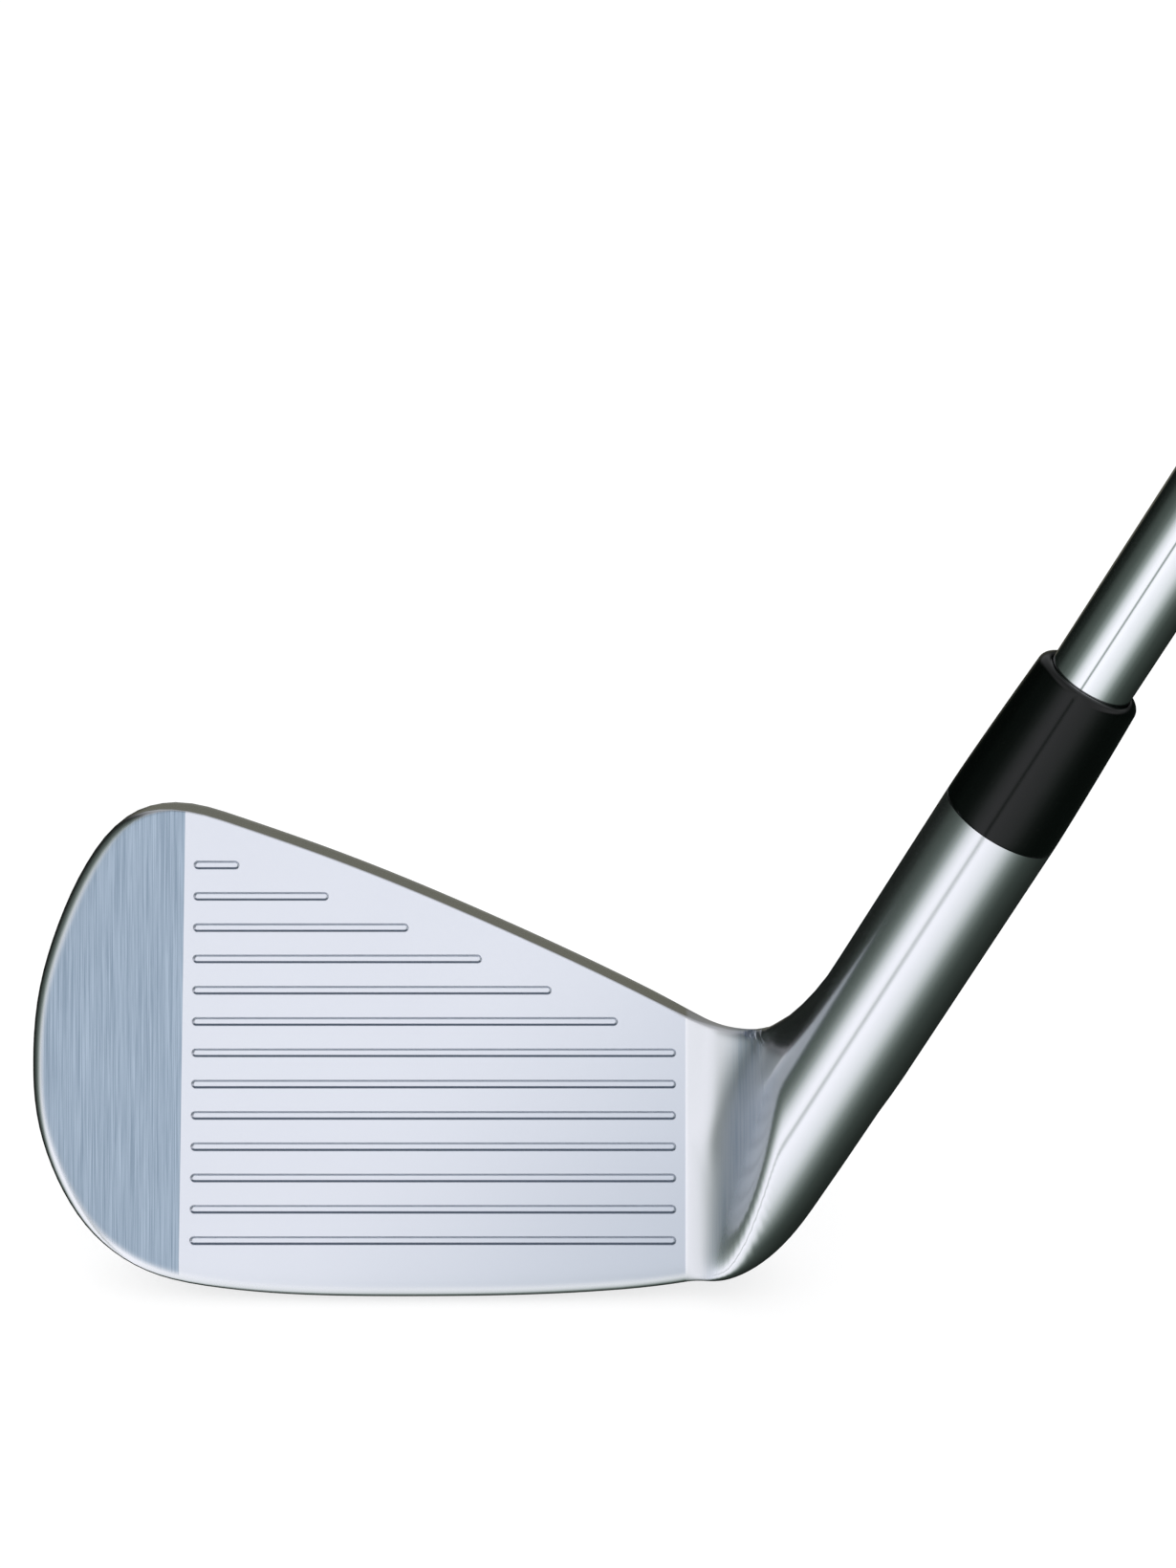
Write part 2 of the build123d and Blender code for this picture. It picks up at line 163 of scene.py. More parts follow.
def spline(points, start, samples=40):
    """Dense points on the smooth curve through `points` that leaves the first along `start`."""
    knots = np.array(points, float)
    gaps = np.linalg.norm(np.diff(knots, axis=0), axis=1)
    count = len(knots)
    system, right = np.zeros((count, count)), np.zeros((count, 2))
    system[0, 0], right[0] = 1, start
    for i in range(1, count - 1):
        system[i, i - 1 : i + 2] = gaps[i], 2 * (gaps[i - 1] + gaps[i]), gaps[i - 1]
        before, after = knots[i] - knots[i - 1], knots[i + 1] - knots[i]
        right[i] = 3 * (gaps[i] * before / gaps[i - 1] + gaps[i - 1] * after / gaps[i])
    system[-1, -2:] = 1, 2
    right[-1] = 3 * (knots[-1] - knots[-2]) / gaps[-1]
    slopes = np.linalg.solve(system, right)
    t = np.linspace(0, 1, samples, endpoint=False)[:, None]
    pieces = []
    for i in range(count - 1):
        pieces.append(
            (2 * t**3 - 3 * t**2 + 1) * knots[i]
            + (t**3 - 2 * t**2 + t) * gaps[i] * slopes[i]
            + (-2 * t**3 + 3 * t**2) * knots[i + 1]
            + (t**3 - t**2) * gaps[i] * slopes[i + 1]
        )
    return np.vstack(pieces + [knots[-1:]])


UPPER_EDGE = spline(UPPER_EDGE_POINTS, (0, 1))
LOWER_EDGE = spline(LOWER_EDGE_POINTS, (0, -1))


class DistanceField:
    """Signed distance to an outline curve, tabulated once and read smoothly."""

    STEP = 0.2

    def __init__(self, curve, outside, closing):
        """outside is the side where the distance is positive, closing the wall added at the toe."""
        self.u = np.arange(-52, 60 + self.STEP, self.STEP)
        self.v = np.arange(-32, 44 + self.STEP, self.STEP)
        grid_u, grid_v = np.meshgrid(self.u, self.v, indexing="ij")
        points = np.stack([grid_u.ravel(), grid_v.ravel()], 1)
        chain = np.vstack([[curve[0] + np.array([0, closing])], curve[::4]])
        nearest, side = np.full(len(points), 1e18), np.zeros(len(points))
        for start, end in zip(chain, chain[1:]):
            along, reach = end - start, points - start
            share = np.clip(reach @ along / (along @ along), 0, 1)
            square = ((reach - share[:, None] * along) ** 2).sum(1)
            turn = along[0] * reach[:, 1] - along[1] * reach[:, 0]
            closer = square < nearest
            nearest = np.where(closer, square, nearest)
            side = np.where(closer, turn, side)
        signed = np.sqrt(nearest) * np.where(side * outside > 0, 1, -1)
        self.table = signed.reshape(grid_u.shape)

    def __call__(self, u, v):
        """Bicubic reading of the table."""
        column = np.clip((u - self.u[0]) / self.STEP, 1, len(self.u) - 3.001)
        row = np.clip((v - self.v[0]) / self.STEP, 1, len(self.v) - 3.001)
        i, j = column.astype(int), row.astype(int)
        value = 0
        for m, weight_u in enumerate(self.weights(column - i)):
            for n, weight_v in enumerate(self.weights(row - j)):
                value = value + weight_u * weight_v * self.table[i + m - 1, j + n - 1]
        return value

    @staticmethod
    def weights(t):
        """Catmull-Rom weights of the four samples round a point."""
        return (
            ((-0.5 * t + 1) * t - 0.5) * t,
            ((1.5 * t - 2.5) * t) * t + 1,
            ((-1.5 * t + 2) * t + 0.5) * t,
            (0.5 * t - 0.5) * t * t,
        )


beyond_top = DistanceField(UPPER_EDGE, 1, -60.0)
beyond_sole = DistanceField(LOWER_EDGE, -1, 60.0)


def hosel_distance(points):
    """Distance outside the hosel's cylinder."""
    offset = points - AXIS_GROUND
    radial = offset - (offset @ AXIS)[..., None] * AXIS
    return np.sqrt((radial**2).sum(-1)) - HOSEL_RADIUS


def blade_back(u, v, depth, toe):
    """The back of the blade: a thin panel over a muscle that swells below a shoulder."""
    shoulder_height = 1.5 - 0.085 * u + 2.0 * ease((-u - 20) / 25)
    panel = depth - PANEL_THICKNESS - 0.3 * toe
    over_shoulder = v - shoulder_height
    muscle = (depth - MUSCLE_THICKNESS + 0.05 * over_shoulder) * 0.99
    slope = over_shoulder * 0.80 + (depth - MUSCLE_THICKNESS) * 0.60
    bar = smooth_max(muscle, slope, 4.5)
    trailing = depth * 0.90 + (v + 22.0) * 0.44 - 13.4
    return smooth_min(panel, smooth_max(bar, trailing, 6.0), 5.0)


def sole_wall(u, v, depth):
    """The cambered sole, from the leading edge to the trailing edge."""
    up_the_toe = ease((v + 14) / 26)
    slope = SOLE_SLOPE * (1 - up_the_toe) + SOLE_TOE_SLOPE * up_the_toe
    bow = 4 * (depth / SOLE_WIDTH - 0.5) ** 2 - 1
    camber = SOLE_CAMBER * bow * (1 - up_the_toe) * ease((u + 44) / 16)
    behind_face = (depth + np.sqrt(depth**2 + 0.2)) / 2
    return beyond_sole(u, v - slope * behind_face - camber + SOLE_DROP)


def heel_fillet(v):
    """Radius of the fillet between face and hosel whose edge on the face is the heel line."""
    start = np.stack([np.full_like(v, HEEL_LINE), v * SIN_LOFT, v * COS_LOFT], -1)
    gap = hosel_distance(start)
    return smooth_min(smooth_max(gap, MIN_FILLET, 2.0), MAX_FILLET, 4.0)


def skin(points):
    """The head's solid: below zero inside, above zero outside, near the distance in between."""
    x, z = points[..., 0], points[..., 2]
    v, w = points @ FACE_UP, points @ FACE_NORMAL
    depth = -w
    toe = 1 - ease((x - TOE_FADE_START) / TOE_FADE)
    heel = ease((x - HEEL_FADE_START) / HEEL_FADE)
    rise = TOPLINE_RISE * (1 - toe) + TOE_RISE * toe
    top = beyond_top(x, v + TOPLINE_BAND * (1 - toe) - rise * depth)
    rounding = TOPLINE_EDGE + (TOE_EDGE - TOPLINE_EDGE) * toe + FRONT_EDGE_GROWTH * heel
    front_edge = smooth_max(w, top, rounding)
    back_edge = smooth_max(blade_back(x, v, depth, toe), top, BACK_EDGE + BACK_EDGE_GROWTH * heel)
    blade = np.maximum(front_edge, back_edge)
    # The blade ends inside the hosel
    past_axis = (x - AXIS_GROUND[0]) * AXIS[2] - (z - AXIS_GROUND[2]) * AXIS[0]
    blade = smooth_max(blade, past_axis - 4.0, 9.0)
    hosel = hosel_distance(points)
    radius = heel_fillet(v)
    corner = radius - np.hypot(np.maximum(radius - blade, 0), np.maximum(radius - hosel, 0))
    forging = np.where((blade < radius) & (hosel < radius), corner, np.minimum(blade, hosel))
    past_line = np.maximum(x - HEEL_LINE, 0)
    milled = w - past_line**2 / (2 * CUTTER_RADIUS)
    forging = smooth_max(forging, milled, 0.06 + 3.2 * ease(past_line / 4))
    return smooth_max(forging, sole_wall(x, v, depth), SOLE_EDGE)


def skin_gradient(points, step=0.02):
    """Slope of skin() in x, y and z."""
    slope = np.empty_like(points)
    for axis in range(3):
        nudge = np.zeros(3)
        nudge[axis] = step
        slope[..., axis] = (skin(points + nudge) - skin(points - nudge)) / (2 * step)
    return slope


# -------- head mesh
# Points on each side of a ring: face, sole, back, upper back, topline
SIDE_POINTS = [150, 70, 90, 30, 40]
RING_POINTS = sum(SIDE_POINTS)
RING_ANGLES = np.interp(
    np.arange(RING_POINTS) / RING_POINTS,
    np.cumsum([0] + SIDE_POINTS) / RING_POINTS,
    np.radians([140, 232, 300, 380, 425, 500]),
)


def face_to_yz(w, v):
    """(w, v) on the blade as (y, z)."""
    return np.stack([v * SIN_LOFT - w * COS_LOFT, v * COS_LOFT + w * SIN_LOFT], -1)


def target_ring(x):
    """Rough outline of the blade's section at x, as (y, z); it sets where the mesh lines fall."""
    x = max(x, TOE_POINT[0] + 0.01)
    toe = 1 - ease((x - TOE_FADE_START) / TOE_FADE)
    top = np.interp(x, *UPPER_EDGE.T) - TOPLINE_BAND * (1 - toe)
    bottom = np.interp(x, *LOWER_EDGE.T) - SOLE_DROP * ease((x - TOE_POINT[0]) / 6)
    height = top - bottom
    full = min(1, height / 30)
    sole = 4.0 + 11.0 * full
    knee_depth = 9.0 if height > 25 else sole
    corners = [
        (0, top), (0, bottom), (-sole, bottom + 0.5 * sole * min(1, height / 40)),
        (-knee_depth, bottom + 0.55 * height), (-5.7, top + 1.25 * (1 - toe)), (0, top),
    ]
    sides = []
    for start, end, count in zip(corners, corners[1:], SIDE_POINTS):
        t = np.linspace(0, 1, count, endpoint=False)[:, None]
        t = t - 0.155 * np.sin(2 * math.pi * t)
        sides.append(np.array(start) + (np.array(end) - np.array(start)) * t)
    ring = np.vstack(sides)
    return face_to_yz(ring[:, 0], ring[:, 1])


def toe_tip():
    """x of the head's outermost point at the toe."""
    outside, inside = TOE_POINT[0] - 1.0, TOE_POINT[0] + 4.0
    for _ in range(40):
        middle = (outside + inside) / 2
        if skin(np.array([middle, *face_to_yz(-2.9, 4.0)])) < 0:
            inside = middle
        else:
            outside = middle
    return inside


def section_planes():
    """Sections from toe to hosel as (target ring, origin, height direction, height range)."""
    tip = toe_tip()
    toe_steps = 0.1 + 16.0 * (np.arange(21) / 20) ** 1.9
    stations = list(tip + toe_steps)
    stations += list(np.arange(stations[-1] + 1.9, HEEL_LINE - 1.4, 1.9))
    stations += list(np.linspace(HEEL_LINE - 1.2, CROTCH[0], 16))
    upright = np.array([0, 0, 1.0])
    planes = [(target_ring(x), np.array([x, 0, 0]), upright, (-24, 44)) for x in stations]
    last_ring = target_ring(CROTCH[0]) - np.array([0, CROTCH[2]])
    # Past the crotch the sections fan out about it until they stand square to the shaft
    for angle in np.linspace(0, LIE, 26)[1:]:
        turned = ease(angle / LIE)
        lean = math.cos(LIE - angle)
        centre, half = -(CROTCH_RADIUS + HOSEL_RADIUS) / lean, HOSEL_RADIUS / lean
        tube_y = AXIS_GROUND[1] + HOSEL_RADIUS * np.cos(RING_ANGLES)
        tube = np.stack([tube_y, centre + half * np.sin(RING_ANGLES)], -1)
        ring = last_ring * (1 - turned) + tube * turned
        planes.append((ring, CROTCH, np.array([-math.sin(angle), 0, math.cos(angle)]), (-34, 0)))
    return planes, len(stations)


def in_space(flat, origin, up):
    """(y, height) on a section plane as points in space."""
    return origin + np.stack([up[0] * flat[:, 1], flat[:, 0], up[2] * flat[:, 1]], -1)


def section_spine(origin, up, height_range):
    """Middle line of a section's solid, as (upper y, upper height, lower y, lower height)."""
    across, heights = np.linspace(-14, 24, 77), np.linspace(*height_range, 137)
    y, h = np.meshgrid(across, heights)
    inside = skin(in_space(np.stack([y.ravel(), h.ravel()], 1), origin, up)).reshape(y.shape) < -0.05
    rows = np.where(inside.any(1))[0]
    middle = (y * inside).sum(1) / np.maximum(inside.sum(1), 1)
    low, high = heights[rows[0]], heights[rows[-1]]
    top_margin = 2.2 if origin[0] > 28 else 3.5
    upper = max(high - top_margin, (low + high) / 2)
    lower = min(low + 5.5, (low + high) / 2)
    places = heights[rows]
    return (
        np.interp(upper, places, middle[rows]), upper,
        np.interp(lower, places, middle[rows]), lower,
    )


def even_out(rows, rounds=3):
    """Running average that keeps both ends."""
    rows = rows.copy()
    for _ in range(rounds):
        rows[1:-1] = (rows[:-2] + 2 * rows[1:-1] + rows[2:]) / 4
    return rows


def ring_on_skin(target, spine, origin, up):
    """Ring of points where rays from the spine towards the target leave the solid."""
    upper, lower = spine[:2], spine[2:]
    line = lower - upper
    share = np.clip((target - upper) @ line / max(line @ line, 1e-9), 0, 1)
    start = upper + share[:, None] * line
    way = target - start
    way = way / np.maximum(np.linalg.norm(way, axis=1, keepdims=True), 1e-6)

    def value(distance):
        return skin(in_space(start + way * distance[:, None], origin, up))

    count, march = len(target), np.linspace(0, 26, 53)
    near, far, found = np.zeros(count), np.full(count, 26.0), np.zeros(count, bool)
    for low, high in zip(march, march[1:]):
        leaves = ~found & (value(np.full(count, high)) > 0)
        near[leaves], far[leaves] = low, high
        found |= leaves
    for _ in range(26):
        middle = (near + far) / 2
        inside = value(middle) < 0
        near, far = np.where(inside, middle, near), np.where(inside, far, middle)
    return in_space(start + way * ((near + far) / 2)[:, None], origin, up)


def settle(rings, first, last, rounds=40):
    """Evens out the mesh between two rings while keeping it on the skin."""
    rings = rings.copy()
    index = np.arange(first, last)
    weight = np.clip((index - first) / 4, 0, 1) * np.clip((last - 1 - index) / 3, 0, 1)
    weight = 0.6 * weight[:, None, None]
    for turn in range(rounds):
        band = rings[first:last]
        around = np.roll(band, 1, 1) + np.roll(band, -1, 1)
        average = (rings[first - 1 : last - 1] + rings[first + 1 : last + 1] + around) / 4
        band = band + weight * (average - band)
        if turn % 2 or turn > rounds - 4:
            slope = skin_gradient(band)
            push = skin(band)[..., None] * slope / np.maximum((slope**2).sum(-1, keepdims=True), 0.05)
            size = np.linalg.norm(push, axis=-1, keepdims=True)
            band = band - push * np.minimum(1, 1.5 / np.maximum(size, 1e-9))
        rings[first:last] = band
    return rings


def head_rings():
    """The head's skin as rings from the toe to the top of the hosel."""
    planes, station_count = section_planes()
    spines = np.array([section_spine(origin, up, reach) for _, origin, up, reach in planes])
    toe_rings = 12
    spines[toe_rings:station_count] = even_out(spines[toe_rings:station_count])
    spines[station_count:] = even_out(spines[station_count:])
    rings = [
        ring_on_skin(target, spine, origin, up)
        for (target, origin, up, _), spine in zip(planes, spines)
    ]
    square_on = np.array([-math.sin(LIE), 0, math.cos(LIE)])
    circle = HOSEL_RADIUS * np.stack([np.cos(RING_ANGLES), np.sin(RING_ANGLES)], -1)
    neck_top = (CROTCH - AXIS_GROUND) @ AXIS
    hosel_heights = np.linspace(neck_top, HOSEL_TOP, 16)[1:]
    for height in hosel_heights:
        centre = AXIS_GROUND + AXIS * height
        rings.append(ring_on_skin(circle, np.array([0, 0.3, 0, -0.3]), centre, square_on))
    rings = np.array(rings)
    heel_start = int(np.argmax(rings[:, :, 0].mean(1) > 26.5))
    return settle(rings, heel_start, len(rings) - len(hosel_heights) + 1)


def mesh_object(name, vertices, faces):
    """New object from vertices in millimetres."""
    mesh = bpy.data.meshes.new(name)
    mesh.from_pydata((np.asarray(vertices) * MM).tolist(), [], faces)
    mesh.update()
    obj = bpy.data.objects.new(name, mesh)
    bpy.context.scene.collection.objects.link(obj)
    return obj


def tube_faces(ring_count, points, closed=False):
    """Quads between successive rings; closed joins the last ring to the first."""
    faces = []
    for i in range(ring_count if closed else ring_count - 1):
        here, there = i * points, (i + 1) % ring_count * points
        for j in range(points):
            after = (j + 1) % points
            faces.append((here + j, there + j, there + after, here + after))
    return faces


def ring_on_axis(height, radius, angles):
    """Ring round the shaft axis. The radius may differ from point to point."""
    circle = np.outer(np.cos(angles), (0, 1.0, 0)) + np.outer(np.sin(angles), ACROSS_AXIS)
    return AXIS_GROUND + AXIS * height + circle * np.reshape(radius, (-1, 1))


def finish_mesh(obj, sharp_degrees):
    """Outward normals and smooth shading that breaks at sharp edges."""
    work = bmesh.new()
    work.from_mesh(obj.data)
    bmesh.ops.recalc_face_normals(work, faces=work.faces)
    work.to_mesh(obj.data)
    work.free()
    obj.data.polygons.foreach_set("use_smooth", [True] * len(obj.data.polygons))
    obj.data.set_sharp_from_angle(angle=math.radians(sharp_degrees))


def mesh_values(items, name, width):
    """One attribute of every item of a mesh, as rows of `width` numbers."""
    values = np.empty(len(items) * width)
    items.foreach_get(name, values)
    return values.reshape(-1, width)


def shade_by_skin(obj, within_degrees=25):
    """Shading normals taken from the skin itself wherever a face lies along it."""
    mesh = obj.data
    slope = skin_gradient(mesh_values(mesh.vertices, "co", 3) / MM)
    slope /= np.maximum(np.linalg.norm(slope, axis=1, keepdims=True), 1e-9)
    wanted = slope[mesh_values(mesh.loops, "vertex_index", 1)[:, 0].astype(int)]
    own = mesh_values(mesh.corner_normals, "vector", 3)
    sizes = mesh_values(mesh.polygons, "loop_total", 1)[:, 0].astype(int)
    flat = np.repeat(mesh_values(mesh.polygons, "normal", 3), sizes, axis=0)
    along = (flat * wanted).sum(1) > math.cos(math.radians(within_degrees))
    mesh.normals_split_custom_set(np.where(along[:, None], wanted, own).tolist())


def groove_heel_end(v):
    """Heel end of the score line at height v."""
    upper = UPPER_EDGE[np.argmax(UPPER_EDGE[:, 1]) :]
    clear = np.interp(-(v + GROOVE_CLEARANCE), -upper[:, 1], upper[:, 0])
    return min(clear, GROOVE_HEEL_END)


def groove_cutters():
    """One object holding a round-ended bar for every score line."""
    turns = 12
    half_turn = np.linspace(-math.pi / 2, math.pi / 2, turns + 1)
    angles = np.concatenate([half_turn, half_turn + math.pi])
    count = len(angles)
    half_width = GROOVE_SECTION[2][0]
    vertices, faces = [], []
    for row in range(GROOVE_COUNT):
        v = LOWEST_GROOVE + GROOVE_PITCH * row
        toe_end = GROOVE_TOE_END + GROOVE_LEAN * GROOVE_PITCH * row + half_width
        heel_end = groove_heel_end(v) - half_width
        centres = np.where(np.arange(count) <= turns, heel_end, toe_end)
        base = len(vertices)
        for reach, height in GROOVE_SECTION:
            for centre, angle in zip(centres, angles):
                u, up_face = centre + reach * math.cos(angle), v + reach * math.sin(angle)
                vertices.append(u * np.array([1, 0, 0]) + up_face * FACE_UP + height * FACE_NORMAL)
        sides = tube_faces(len(GROOVE_SECTION), count)
        faces += [tuple(base + k for k in face) for face in sides]
        last = base + (len(GROOVE_SECTION) - 1) * count
        faces.append(tuple(range(base, base + count)))
        faces.append(tuple(reversed(range(last, last + count))))
    cutters = mesh_object("groove_cutters", vertices, faces)
    finish_mesh(cutters, 30)
    return cutters


def cut_score_lines(head):
    """Cuts the score lines into the head's mesh."""
    cutters = groove_cutters()
    cut = head.modifiers.new("score_lines", "BOOLEAN")
    cut.operation, cut.solver, cut.object = "DIFFERENCE", "EXACT", cutters
    graph = bpy.context.evaluated_depsgraph_get()
    grooved = bpy.data.meshes.new_from_object(head.evaluated_get(graph))
    head.modifiers.clear()
    head.data = grooved
    bpy.data.objects.remove(cutters)


def build_head():
    """The forged head: skin, hosel bore and score lines."""
    lead_in, rim, sharp_degrees = 0.35, 0.15, 40
    bore = [
        ring_on_axis(height, radius, RING_ANGLES)
        for radius, height in (
            (HOSEL_RADIUS - rim, HOSEL_TOP), (BORE_RADIUS + lead_in, HOSEL_TOP),
            (BORE_RADIUS, HOSEL_TOP - lead_in), (BORE_RADIUS, BORE_BOTTOM),
        )
    ]
    rings = np.concatenate([head_rings(), bore])
    vertices = list(rings.reshape(-1, 3))
    faces = tube_faces(len(rings), RING_POINTS)
    toe_centre, bore_centre = len(vertices), len(vertices) + 1
    vertices += [rings[0].mean(0), rings[-1].mean(0)]
    last = (len(rings) - 1) * RING_POINTS
    for j in range(RING_POINTS):
        after = (j + 1) % RING_POINTS
        faces += [(toe_centre, j, after), (bore_centre, last + after, last + j)]
    head = mesh_object("forged_head", vertices, faces)
    finish_mesh(head, sharp_degrees)
    cut_score_lines(head)
    finish_mesh(head, sharp_degrees)
    shade_by_skin(head)
    return head


# -------- pieces on the shaft axis
def lathe(name, profile, sides=144, sharp_degrees=35):
    """Closed (radius, height up the axis) profile turned round the shaft axis."""
    angles = np.linspace(0, 2 * math.pi, sides, endpoint=False)
    rings = [ring_on_axis(height, radius, angles) for radius, height in profile]
    obj = mesh_object(name, np.concatenate(rings), tube_faces(len(profile), sides, closed=True))
    finish_mesh(obj, sharp_degrees)
    return obj


def arc(centre, radius, start, end, steps):
    """Points on an arc, angles in degrees, as (radius, height)."""
    angles = np.radians(np.linspace(start, end, steps + 1))
    return [(centre[0] + radius * math.cos(a), centre[1] + radius * math.sin(a)) for a in angles]


def ridge(distance, width):
    """1 at distance 0, easing to 0 at `width`."""
    return ease(1 - np.abs(distance) / width)


def build_ferrule():
    """Turned collar: slightly bellied, with a rounded rim and a fine joint line at the hosel."""
    rim_radius, top_radius, joint, belly_power = 1.0, 5.95, 0.25, 1.35
    low, high = FERRULE_BOTTOM, FERRULE_TOP
    start, rise = low + joint, high - rim_radius - low - joint
    belly = [
        (HOSEL_RADIUS + (top_radius - HOSEL_RADIUS) * t**belly_power, start + rise * t)
        for t in np.linspace(0, 1, 24)
    ]
    foot = [(TIP_RADIUS, low), (HOSEL_RADIUS - 0.22, low), (HOSEL_RADIUS - 0.05, low + 0.08)]
    rim = arc((top_radius - rim_radius, high - rim_radius), rim_radius, 8, 90, 10)
    lip = [(TIP_RADIUS + 0.12, high - 0.02), (TIP_RADIUS, high - 0.25)]
    return lathe("ferrule_collar", foot + belly + rim + lip)


def build_shaft():
    """Stepped steel tube: each step is a short swaged ramp between near-parallel stages."""
    rise, chamfer = (BUTT_RADIUS - TIP_RADIUS) / STEP_COUNT, 0.3
    outer = [(TIP_RADIUS - chamfer, SHAFT_BOTTOM), (TIP_RADIUS, SHAFT_BOTTOM + chamfer)]
    radius, height = TIP_RADIUS, SHAFT_BOTTOM + TIP_SECTION
    for _ in range(STEP_COUNT):
        for t in np.linspace(0, 1, 7):
            outer.append((radius + rise * (t * t * (3 - 2 * t)), height + STEP_RAMP * t))
        radius += rise
        height += STEP_SPACING
    outer += [(BUTT_RADIUS, SHAFT_TOP - chamfer), (BUTT_RADIUS - 0.2, SHAFT_TOP)]
    inner = [(r - SHAFT_WALL, h) for r, h in reversed(outer[2:-2])]
    top, bottom = (BUTT_RADIUS - SHAFT_WALL, SHAFT_TOP), (TIP_RADIUS - SHAFT_WALL, SHAFT_BOTTOM)
    return lathe("shaft_tube", outer + [top] + inner + [bottom], sides=192)


def grip_radius(height):
    """Outer radius of the grip up the axis, through its mouth, waist and butt."""
    t = (height - GRIP_BOTTOM) / (GRIP_TOP - GRIP_BOTTOM)
    m = GRIP_WAIST_SHARE
    mouth = GRIP_MOUTH_RADIUS * (t - m) * (t - 1) / m
    waist = GRIP_WAIST_RADIUS * t * (t - 1) / (m * (m - 1))
    butt = GRIP_BUTT_RADIUS * t * (t - m) / (1 - m)
    return mouth + waist + butt


def grip_pattern(height, angle):
    """Depth of the moulded pattern: diamonds between plain rings, with a plain butt and mouth."""
    starts, slant, line_share = 18, 1.55, 0.14
    plain_mouth, plain_butt, ring_spacing, ring_place = 16.0, 24.0, 56.0, 52.0
    from_mouth, from_butt = height - GRIP_BOTTOM, GRIP_TOP - height
    phase = height / (2 * math.pi * 10.5 / starts * slant)
    turn = angle * starts / (2 * math.pi)
    one_way, other_way = (turn + phase) % 1 - 0.5, (turn - phase) % 1 - 0.5
    line = np.maximum(ridge(one_way, line_share), ridge(other_way, line_share))
    above_mouth = ease((from_mouth - plain_mouth) / 3)
    from_ring = np.abs((from_mouth - plain_mouth) % ring_spacing - ring_place)
    zone = above_mouth * ease((from_butt - plain_butt) / 3) * ease((from_ring - 2.2) / 1.2)
    rings = ridge(from_ring - 2.6, 0.7) * above_mouth * ease((from_butt - plain_butt - 6) / 3)
    mouth_rings = sum(ridge(from_mouth - place, 0.7) for place in (5.0, 8.0, 11.0))
    butt_rings = sum(ridge(from_butt - place, 0.8) for place in (5.0, 21.0))
    return 0.38 * np.maximum(line * zone, rings) + 0.35 * (mouth_rings + butt_rings)


def build_grip():
    """Moulded rubber sleeve whose pattern is cut into its surface."""
    sides, lip, tape = 216, 0.7, 0.2
    angles = np.linspace(0, 2 * math.pi, sides, endpoint=False)
    heights = np.concatenate([
        GRIP_BOTTOM + lip * np.array([0.0, 0.1, 0.3, 0.6, 1.0]),
        np.arange(GRIP_BOTTOM + 1.1, GRIP_TOP - 0.2, 0.42),
        [GRIP_TOP],
    ])
    rings = []
    for height in heights:
        rounding = max(0.0, 1 - (height - GRIP_BOTTOM) / lip)
        radius = grip_radius(height) - lip * (1 - math.sqrt(1 - rounding**2))
        rings.append(ring_on_axis(height, radius - grip_pattern(height, angles), angles))
    rings += [ring_on_axis(height, BUTT_RADIUS + tape, angles) for height in (GRIP_TOP, GRIP_BOTTOM)]
    faces = tube_faces(len(rings), sides, closed=True)
    grip = mesh_object("grip_sleeve", np.concatenate(rings), faces)
    finish_mesh(grip, 50)
    return grip


def build_cap():
    """Butt cap: domed top with a ring round the vent hole, and a hollow spigot below."""
    rim, top, edge, break_edge = GRIP_BUTT_RADIUS, CLUB_LENGTH, 2.5, 0.25
    spigot, plug_bottom = BUTT_RADIUS - SHAFT_WALL, SHAFT_TOP - CAP_PLUG
    profile = [
        (VENT_HOLE_RADIUS, SHAFT_TOP), (spigot - CAP_PLUG_WALL, SHAFT_TOP),
        (spigot - CAP_PLUG_WALL, plug_bottom), (spigot - 0.4, plug_bottom),
        (spigot, plug_bottom + 0.4), (spigot, SHAFT_TOP),
        (rim - break_edge, SHAFT_TOP), (rim, SHAFT_TOP + break_edge),
    ]
    profile += arc((rim - edge, top - edge - break_edge), edge, 0, 62, 10)
    edge_radius, edge_height = profile[-1]
    for radius in np.linspace(edge_radius - 0.6, VENT_HOLE_RADIUS + 0.4, 40):
        crown = (1 - (radius / edge_radius) ** 2) ** 0.6
        dome = edge_height + (top - 0.05 - edge_height) * crown
        groove = 0.45 * float(ridge(radius - 8.2, 0.8)) + 0.35 * float(ridge(radius - 3.4, 0.6))
        profile.append((radius, dome - groove))
    profile += [(VENT_HOLE_RADIUS + 0.1, top - 0.12), (VENT_HOLE_RADIUS, top - 0.4)]
    return lathe("butt_cap", profile, sharp_degrees=45)


def build_band():
    """Plain film band below the grip."""
    inner, edge = BUTT_RADIUS, BAND_RADIUS - 0.04
    profile = [
        (inner, BAND_BOTTOM), (edge, BAND_BOTTOM), (BAND_RADIUS, BAND_BOTTOM + 0.1),
        (BAND_RADIUS, BAND_TOP - 0.1), (edge, BAND_TOP), (inner, BAND_TOP),
    ]
    return lathe("film_band", profile, sides=192)


